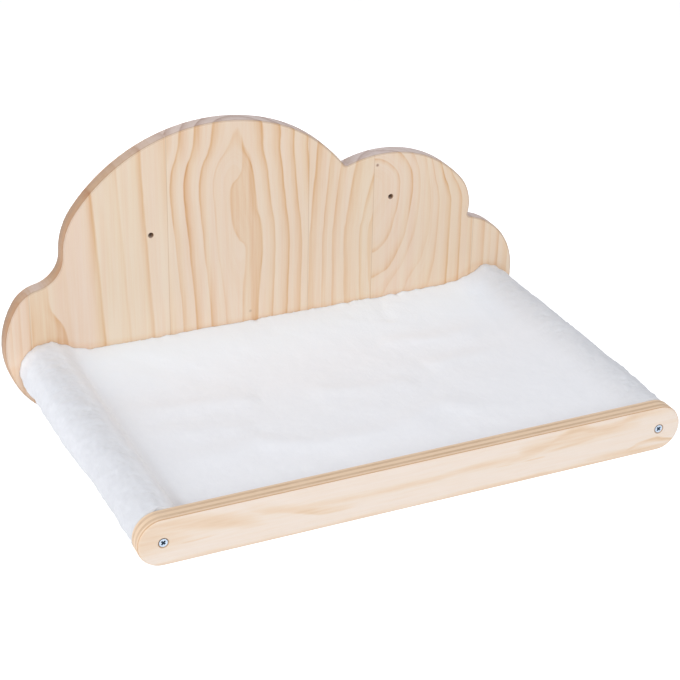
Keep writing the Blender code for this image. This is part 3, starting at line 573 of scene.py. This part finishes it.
def white_plush():
    """Short white polyester pile: matt, soft at its edges, lying in locks 3 to 10 mm long."""
    mat, tree, shader = new_material("white plush, short pile", 0.95)
    shader.inputs["Sheen Weight"].default_value = 0.4
    shader.inputs["Sheen Roughness"].default_value = 0.5
    shader.inputs["Subsurface Weight"].default_value = 0.3
    shader.inputs["Subsurface Radius"].default_value = (1.0, 1.0, 1.0)
    shader.inputs["Subsurface Scale"].default_value = 0.003
    place, x, y, z = object_place(tree)
    off_middle = add(tree, "Math", x, operation="ABSOLUTE")
    on_sleeve = add(tree, "MapRange", off_middle, 186.0, 222.0, 0.0, 1.0, interpolation_type="SMOOTHSTEP")

    # the pile lies towards the rail on the sheet, and stands in loose clumps on the sleeves
    sheet_way = add(tree, "Mapping", place, named={"Scale": (360.0, 130.0, 300.0)})
    sleeve_way = add(tree, "Mapping", place, named={"Scale": (150.0, 190.0, 150.0)})
    lying = add(tree, "Mix", data_type="VECTOR", named={0: on_sleeve, 4: sheet_way, 5: sleeve_way})
    lock = add(tree, "TexNoise", lying.outputs[1], named={"Scale": 1.0, "Detail": 4.0, "Roughness": 0.6})
    fibre = add(tree, "TexNoise", place, named={"Scale": 1300.0, "Detail": 2.0, "Roughness": 0.6})
    fibre = add(tree, "Math", fibre, 0.3, operation="MULTIPLY")
    depth = add(tree, "Math", lock, 0.7, fibre, operation="MULTIPLY_ADD")
    root = add(tree, "MapRange", depth, 0.3, 0.62, 1.0, 0.0)
    shaded = add(tree, "Math", on_sleeve, 0.08, 0.12, operation="MULTIPLY_ADD")
    root = add(tree, "Math", root, shaded, operation="MULTIPLY")
    colour = add(tree, "MixRGB", root, linear("#EEF0F3"), linear("#D0D2DB"))

    # by the board the pile is a little colder and lighter
    near_board = add(tree, "MapRange", y, -135.0, -30.0, 0.0, 1.0, interpolation_type="SMOOTHSTEP")
    on_sheet = add(tree, "Math", 1.0, on_sleeve, operation="SUBTRACT")
    near_board = add(tree, "Math", near_board, on_sheet, operation="MULTIPLY")
    colour = add(tree, "MixRGB", near_board, colour, linear("#ECF3FB"))
    # painted shade across the bed
    pile_shade = add(tree, "CombineXYZ", *[drawn_curve(tree, x, PILE_SHADE)] * 3)
    colour = add(tree, "MixRGB", 1.0, colour, pile_shade, blend_type="MULTIPLY")

    # painted shade, brownish, lies in the crease along the seam, most of all near the rail
    seam = add(tree, "Math", x, drawn_curve(tree, y, SEAM_LINE), operation="SUBTRACT")
    seam = add(tree, "Math", seam, operation="ABSOLUTE")
    seam = add(tree, "MapRange", seam, 1.0, 12.0, 1.0, 0.0, interpolation_type="SMOOTHSTEP")
    seam_shade_by_rail = add(tree, "MapRange", y, -292.0, -235.0, 0.26, 0.1)
    above = add(tree, "MapRange", z, 0.0, 6.0, 0.0, 1.0)
    for share in (seam_shade_by_rail, above):
        seam = add(tree, "Math", seam, share, operation="MULTIPLY")
    colour = add(tree, "MixRGB", seam, colour, linear("#AA9584"))
    finish_surface(tree, shader, colour, 0.35, 0.8 * MM, depth)
    return mat


def hump(distance, height, reach):
    """A soft hump: its whole height at no distance, a third of it at reach, and soon nothing beyond."""
    return height * exp(-(distance / reach) ** 2)


def arc_points(centre, radius, start, end, count):
    """Points along an arc after its first one."""
    angles = [start + (end - start) * i / count for i in range(1, count + 1)]
    return [(centre[0] + radius * cos(a), centre[1] + radius * sin(a)) for a in angles]


def sleeve_half(radius, sheet_z, flap_z, sheet_fillet, flap_fillet, counts):
    """Half a section: from the hem under the sheet, round a dowel and up on to the sheet, as (inboard, z)."""
    flap_centre_z = flap_z - flap_fillet
    flap_centre = (sqrt((radius + flap_fillet) ** 2 - flap_centre_z ** 2), flap_centre_z)
    sheet_centre_z = sheet_z + sheet_fillet
    sheet_centre = (sqrt((radius + sheet_fillet) ** 2 - sheet_centre_z ** 2), sheet_centre_z)
    leave_flap = atan2(flap_centre[1], flap_centre[0])
    meet_sheet = atan2(sheet_centre[1], sheet_centre[0])
    steps = counts["flap"]
    points = [(HEM_REACH + (flap_centre[0] - HEM_REACH) * i / steps, flap_z) for i in range(steps + 1)]
    points += arc_points(flap_centre, flap_fillet, pi / 2, leave_flap + pi, counts["flap_fillet"])
    points += arc_points((0, 0), radius, leave_flap, meet_sheet - 2 * pi, counts["sleeve"])
    points += arc_points(sheet_centre, sheet_fillet, meet_sheet + pi, 3 * pi / 2, counts["crease"])
    return points


# Over what share of the sheet's width its relief fades in at each sleeve
RELIEF_EASE = 0.13


def cloth_section(left_half, right_half, relief, sheet_steps):
    """A whole section in X and Z, with the sheet between its halves. Its relief starts softly at each end."""
    left = [(-DOWEL_X + u, z) for u, z in left_half]
    right = [(DOWEL_X - u, z) for u, z in right_half]
    start, end = left[-1], right[-1]
    sheet = []
    for i in range(1, sheet_steps):
        share = i / sheet_steps
        x = start[0] + (end[0] - start[0]) * share
        ease = min(1.0, share / RELIEF_EASE, (1 - share) / RELIEF_EASE)
        sheet.append((x, start[1] + relief(x) * ease ** 2 * (3 - 2 * ease)))
    return left + sheet + right[::-1]


# Soft folds of the plush between the sleeves, in millimetres: the line of each crest or groove as (x, y), and
# its height and reach
FOLDS = (
    {"line": ((-205, -224), (-165, -223), (-135, -220), (-105, -214), (-78, -229), (-40, -236), (10, -236),
              (40, -223), (62, -217), (88, -229), (125, -242)), "height": 2.1, "reach": 13},
    {"line": ((62, -92), (90, -102), (120, -107), (150, -103), (190, -84)), "height": 2.1, "reach": 12},
    {"line": ((-175, -34), (-150, -50), (-128, -70), (-110, -92), (-96, -118)), "height": -1.2, "reach": 16},
    {"line": ((-185, -130), (-125, -139), (-75, -146)), "height": 1.7, "reach": 12},
    {"line": ((-35, -154), (15, -165), (65, -172)), "height": 1.3, "reach": 11},
    {"line": ((80, -148), (125, -147), (175, -144)), "height": 1.5, "reach": 10},
    {"line": ((-195, -168), (-150, -178), (-95, -190)), "height": 1.3, "reach": 14},
    {"line": ((100, -10), (94, -35), (88, -65)), "height": -1.2, "reach": 8},
)


def fold_path(line):
    """Points 1 to 3 mm apart on a smooth curve through a fold's own points, kept for a search by distance."""
    points = [Vector((x * MM, y * MM, 0)) for x, y in line]
    points = [points[0]] + points + [points[-1]]
    path = []
    for before, start, end, after in zip(points, points[1:], points[2:], points[3:]):
        leave = start + (end - before) / 6
        arrive = end - (after - start) / 6
        path += geometry.interpolate_bezier(start, leave, arrive, end, 16)
    search = kdtree.KDTree(len(path))
    for i, point in enumerate(path):
        search.insert(point, i)
    search.balance()
    return search, len(path) - 1


FOLD_PATHS = [fold_path(fold["line"]) for fold in FOLDS]


def sheet_relief(x, y):
    """How far the soft folds raise or lower the plush between the sleeves. Each fades out over a sixth of its
    line at either end."""
    rise = 0.0
    for fold, (search, last) in zip(FOLDS, FOLD_PATHS):
        place, nearest, off = search.find((x, y, 0))
        end_fade = min(1.0, 6 * nearest / last, 6 * (last - nearest) / last)
        rise += hump(off, fold["height"] * MM, fold["reach"] * MM) * end_fade
    return rise


def in_scene(name, data):
    """A new object in the scene."""
    obj = bpy.data.objects.new(name, data)
    bpy.context.scene.collection.objects.link(obj)
    return obj


def mesh_object(name, bm, mat):
    """A finished bmesh as an object in the scene, in its material."""
    mesh = bpy.data.meshes.new(name)
    bm.to_mesh(mesh)
    bm.free()
    mesh.materials.append(mat)
    return in_scene(name, mesh)


def bend_grid(bm, rows):
    """Adds a flat grid and moves its corners on to rows of points, one row along the section for each Y."""
    across = len(rows[0]) - 1
    along = len(rows) - 1
    flat = bmesh.ops.create_grid(bm, x_segments=across, y_segments=along, size=1.0)
    for vert in flat["verts"]:
        column = round((vert.co.x + 1) / 2 * across)
        row = round((vert.co.y + 1) / 2 * along)
        vert.co = rows[row][column]
    return flat["verts"]


def cloth_mesh(name, outer_rows, inner_rows, ruffle, mat):
    """A closed sheet of cloth: an outer and an inner face, joined round their rims."""
    bm = bmesh.new()
    outer = bend_grid(bm, outer_rows)
    bmesh.ops.recalc_face_normals(bm, faces=bm.faces)
    bm.normal_update()
    top = max(outer, key=lambda v: v.co.z)
    if top.normal.z < 0:
        bmesh.ops.reverse_faces(bm, faces=bm.faces)
        bm.normal_update()
    if ruffle:
        lift = [ruffle(v.co, v.normal) for v in outer]
        for vert, way in zip(outer, lift):
            vert.co += way
    bend_grid(bm, inner_rows)
    rims = [e for e in bm.edges if e.is_boundary]
    bmesh.ops.bridge_loops(bm, edges=rims)
    bmesh.ops.triangulate(bm, faces=[f for f in bm.faces if len(f.verts) > 4])
    bmesh.ops.recalc_face_normals(bm, faces=bm.faces)
    cloth = mesh_object(name, bm, mat)
    cloth.data.shade_smooth()
    return cloth


# The left sleeve stands out a little, and swings from thinner to fuller behind a turn, as (height, y, reach).
# At the board it drops back again, as (height, reach), while its top is pushed up.
LEFT_BULGE = 0.75 * MM
LEFT_SWING = (2.95 * MM, -165 * MM, 35 * MM)
LEFT_DROP = (1.0 * MM, 45 * MM)
LEFT_PUSH = 1.5 * MM
# The right sleeve is thinner, most of all at the rail and the board. At the board its top is pushed up on the
# dowel's inner side, and sinks beyond it.
RIGHT_THIN = 1.1 * MM
RIGHT_THIN_AT_RAIL = (1.8 * MM, 35 * MM)
RIGHT_THIN_AT_BOARD = (2.6 * MM, 42 * MM)
RIGHT_PUSH_X = 205 * MM
RIGHT_PUSH = (5.0 * MM, 14 * MM)
RIGHT_SINK_X = 212 * MM
RIGHT_SINK = 1.8 * MM
RIGHT_SINK_WIDTH = 12 * MM
PUSH_REACH = 22 * MM

# Where the sleeves' own shape sets in beside the sheet, and over what width
SLEEVE_X = 195 * MM
SLEEVE_WIDTH = 20 * MM
# Layers of the pile's unevenness: the noise's swings per metre, where it is read, and its height in mm on the
# sheet and added on the sleeves, where the cloth bends and the pile opens
PILE_LAYERS = (
    {"name": "locks", "swings": 165, "at": (0, 0, 0), "sheet": 0.1, "sleeve": 0.5},
    {"name": "clumps", "swings": 75, "at": (3, 1, 7), "sheet": 0.3, "sleeve": 0.5},
    {"name": "swells", "swings": 24, "at": (9, 4, 2), "sheet": 0.6, "sleeve": 0.0},
    {"name": "fuzz", "swings": 330, "at": (0, 0, 0), "sheet": 0.1, "sleeve": 0.65},
)
# Tufts along the board: the noise's swings per metre, height, and where it is read
TUFTS = ((140, 1.3 * MM, (5, 3)), (420, 0.5 * MM, (8, 1)))
TUFT_REACH = 6 * MM


def clamped(share):
    return min(1.0, max(0.0, share))


def sleeve_fullness(place, normal):
    """How much fuller or thinner a sleeve is than an even wrap, measured off its surface."""
    off_board = BOARD_FRONT_Y - place.y
    pushed = hump(off_board, max(0.0, normal.z), PUSH_REACH)
    if place.x < 0:
        height, turn, reach = LEFT_SWING
        bulge = LEFT_BULGE + height * tanh((place.y - turn) / reach) - hump(off_board, *LEFT_DROP)
        return max(0.0, -normal.x) * bulge + LEFT_PUSH * pushed
    thin = RIGHT_THIN + hump(off_board, *RIGHT_THIN_AT_BOARD)
    thin += hump(place.y - RAIL_BACK_Y, *RIGHT_THIN_AT_RAIL)
    top = hump(place.x - RIGHT_PUSH_X, *RIGHT_PUSH)
    top -= RIGHT_SINK * clamped((place.x - RIGHT_SINK_X) / RIGHT_SINK_WIDTH)
    return pushed * top - (0.3 + 0.7 * max(0.0, normal.x)) * thin


def pile_lift(place, normal):
    """Locks, clumps and tufts of the pile and the sleeves' fullness, as a move off the smooth cover."""
    on_sleeve = clamped((abs(place.x) - SLEEVE_X) / SLEEVE_WIDTH)
    lift = sleeve_fullness(place, normal) * on_sleeve
    for layer in PILE_LAYERS:
        height = (layer["sheet"] + layer["sleeve"] * on_sleeve) * MM
        lift += noise.noise(place * layer["swings"] + Vector(layer["at"])) * height
    for swings, height, at in TUFTS:
        tuft = noise.noise(Vector((place.x * swings, *at)))
        lift += tuft * hump(BOARD_FRONT_Y - place.y, height, TUFT_REACH)
    return normal * lift


def white_plush_cover(mat):
    """The plush: drawn tight round the dowels, full and softly folded between them, hemmed under the sheet.
    Returned with its flat size, which is that of its backing."""
    under = CLOTH_GAP + CANVAS_THICKNESS + CLOTH_GAP
    inner_radius = DOWEL_RADIUS + under
    level = under - CLOTH_GAP / 2
    fillet = SEAM_FILLET - CANVAS_THICKNESS - CLOTH_GAP
    start = BOARD_FRONT_Y - PLUSH_INSET
    end = RAIL_BACK_Y + PLUSH_INSET

    def outer_row(y):
        off_board = BOARD_FRONT_Y - y
        radius = inner_radius + SLEEVE_PILE + hump(off_board, *BOARD_SWELL)
        left_crease = LEFT_CREASE + hump(off_board, *LEFT_CREASE_GROWTH)
        right_crease = RIGHT_CREASE + hump(off_board, *RIGHT_CREASE_GROWTH)
        sheet_z = level + SHEET_PILE + hump(off_board, *BOARD_RISE) + hump(y - RAIL_BACK_Y, *RAIL_RISE)
        flap_z = -level - FLAP_PILE
        left = sleeve_half(radius, sheet_z, flap_z, left_crease, FLAP_FILLET, PLUSH_COUNTS)
        right = sleeve_half(radius, sheet_z, flap_z, right_crease, FLAP_FILLET, PLUSH_COUNTS)
        section = cloth_section(left, right, lambda x: sheet_relief(x, y), PLUSH_COUNTS["sheet"])
        return [(x, y, z) for x, z in section]

    def inner_row(y):
        half = sleeve_half(inner_radius, level, -level, fillet, fillet, LINING_COUNTS)
        return [(x, y, z) for x, z in cloth_section(half, half, lambda x: 0, LINING_COUNTS["sheet"])]

    outer = [outer_row(start + (end - start) * i / PLUSH_ROWS) for i in range(PLUSH_ROWS + 1)]
    inner = [inner_row(start + (end - start) * i / LINING_ROWS) for i in range(LINING_ROWS + 1)]
    cover = cloth_mesh("white_plush_cover", outer, inner, pile_lift, mat)
    # no tuft reaches into the board or the rail
    for vert in cover.data.vertices:
        vert.co.y = min(max(vert.co.y, end), start)
    return cover, (developed_width(inner[0]), start - end)


def woven_sling(mat):
    """The canvas under the plush: wrapped round both dowels and hemmed under the sheet. Returned with its
    flat size."""
    inner_radius = DOWEL_RADIUS + CLOTH_GAP
    level = CLOTH_GAP / 2
    start = BOARD_FRONT_Y - CANVAS_INSET
    end = RAIL_BACK_Y + CANVAS_INSET
    counts = {"flap": 8, "flap_fillet": 6, "sleeve": 40, "crease": 6, "sheet": 60}
    rows = 40

    def row(y, out, fillet):
        half = sleeve_half(inner_radius + out, level + out, -level - out, fillet, fillet, counts)
        return [(x, y, z) for x, z in cloth_section(half, half, lambda x: 0, counts["sheet"])]

    places = [start + (end - start) * i / rows for i in range(rows + 1)]
    outer = [row(y, CANVAS_THICKNESS, SEAM_FILLET - CANVAS_THICKNESS) for y in places]
    inner = [row(y, 0, SEAM_FILLET) for y in places]
    sling = cloth_mesh("woven_sling", outer, inner, None, mat)
    return sling, (developed_width(inner[0]), start - end)


def paint(obj, mat):
    obj.data.materials.clear()
    obj.data.materials.append(mat)


def developed_width(row):
    """Width of a cloth laid out flat: the length of its section, from one hem's edge round to the other's."""
    places = [Vector(place) for place in row]
    return sum((after - before).length for before, after in zip(places, places[1:]))


# Soft square lamps: where each hangs, its side in metres, its power in watts and its colour. The one behind
# hangs low, so that it reaches only what faces the wall.
LAMPS = {
    "front": ((-0.2, -3.0, 2.0), 2.2, 49.0, "#FFFDFA"),
    "left": ((-3.0, -0.2, 0.8), 2.2, 46.5, "#FDFDFF"),
    "overhead": ((0.2, -0.4, 2.4), 2.0, 10.5, "#FFFFFF"),
    "behind": ((0.2, 2.6, 0.0), 1.2, 16.0, "#FFFFFF"),
}
LAMPS_AIM = Vector((0, -0.16, 0.05))
FLOOR_Z = -0.55


def seen_directly(tree):
    """1 where the camera looks straight at something, or sees it in a mirror or through glass."""
    path = add(tree, "LightPath").outputs
    seen = add(tree, "Math", path["Is Camera Ray"], path["Is Glossy Ray"], operation="MAXIMUM")
    return add(tree, "Math", seen, path["Is Transmission Ray"], operation="MAXIMUM")


def studio():
    """White surroundings: most light comes from all round, the rest from the lamps, and the floor is pale."""
    world = bpy.data.worlds.new("white studio")
    bpy.context.scene.world = world
    world.use_nodes = True
    tree = world.node_tree
    sky = tree.nodes["Background"]
    sky.inputs["Color"].default_value = linear("#EDEFF8")
    sky.inputs["Strength"].default_value = 0.49
    white = add(tree, "Background", linear("#FFFFFF"), 1.0)
    both = add(tree, "MixShader", seen_directly(tree), sky, white)
    tree.links.new(both.outputs[0], tree.nodes["World Output"].inputs["Surface"])

    for name, (place, size, power, code) in LAMPS.items():
        lamp = bpy.data.lights.new(name, "AREA")
        lamp.shape = "SQUARE"
        lamp.size = size
        lamp.energy = power
        lamp.color = linear(code)[:3]
        way = LAMPS_AIM - Vector(place)
        turned = way.to_track_quat("-Z", "Y").to_matrix().to_4x4()
        in_scene(name, lamp).matrix_world = Matrix.Translation(place) @ turned

    mat, tree, shader = new_material("white seamless paper", 0.9)
    shader.inputs["Base Color"].default_value = linear("#F7F7F7")
    glow = add(tree, "Emission", linear("#FFFFFF"), 0.5)
    lit = add(tree, "AddShader", shader, glow)
    both = add(tree, "MixShader", seen_directly(tree), shader, lit)
    tree.links.new(both.outputs[0], tree.nodes["Material Output"].inputs["Surface"])
    bm = bmesh.new()
    bmesh.ops.create_grid(bm, x_segments=8, y_segments=8, size=6.0)
    bmesh.ops.translate(bm, verts=bm.verts, vec=(0, 0, FLOOR_Z))
    mesh_object("floor", bm, mat)


CAMERA_PLACE = (-0.5813, -1.3786, 0.7597)


def photo_camera():
    """The photograph's view: from the left, looking down at 27.6 degrees."""
    azimuth, elevation, roll = radians(-25.2233), radians(27.5647), radians(1.3667)
    back = Vector((sin(azimuth) * cos(elevation), -cos(azimuth) * cos(elevation), sin(elevation)))
    right = (-back).cross(Vector((0, 0, 1))).normalized()
    up = right.cross(-back)
    turned_right = right * cos(roll) + up * sin(roll)
    turned_up = up * cos(roll) - right * sin(roll)
    turned = Matrix((turned_right, turned_up, back)).transposed().to_4x4()
    data = bpy.data.cameras.new("camera")
    data.lens = 95.39
    data.sensor_width = 36
    camera = in_scene("camera", data)
    camera.matrix_world = Matrix.Translation(CAMERA_PLACE) @ turned
    bpy.context.scene.camera = camera


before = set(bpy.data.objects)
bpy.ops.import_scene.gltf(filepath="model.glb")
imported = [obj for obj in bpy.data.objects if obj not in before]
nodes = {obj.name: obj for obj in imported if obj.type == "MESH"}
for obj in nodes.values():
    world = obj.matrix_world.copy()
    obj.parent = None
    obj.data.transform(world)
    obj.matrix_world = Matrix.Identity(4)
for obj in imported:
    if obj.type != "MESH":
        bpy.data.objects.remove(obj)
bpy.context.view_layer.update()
scene = bpy.context.scene
scene.view_settings.view_transform = "Standard"
photo_camera()
studio()

paint(nodes["cloud_backboard"], edge_glued_pine())
paint(nodes["front_rail"], pine_plywood())
beech = turned_beech()
for node in ("left_dowel", "right_dowel"):
    paint(nodes[node], beech)
zinc = blue_zinc()
for node in ("left_front_screw", "right_front_screw", "left_rear_screw", "right_rear_screw"):
    paint(nodes[node], zinc)

sling, sling_flat = woven_sling(cotton_canvas())
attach(sling, "root")
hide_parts("sling_canvas")

cover, cover_flat = white_plush_cover(white_plush())
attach(cover, "root")
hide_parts("plush_cover")
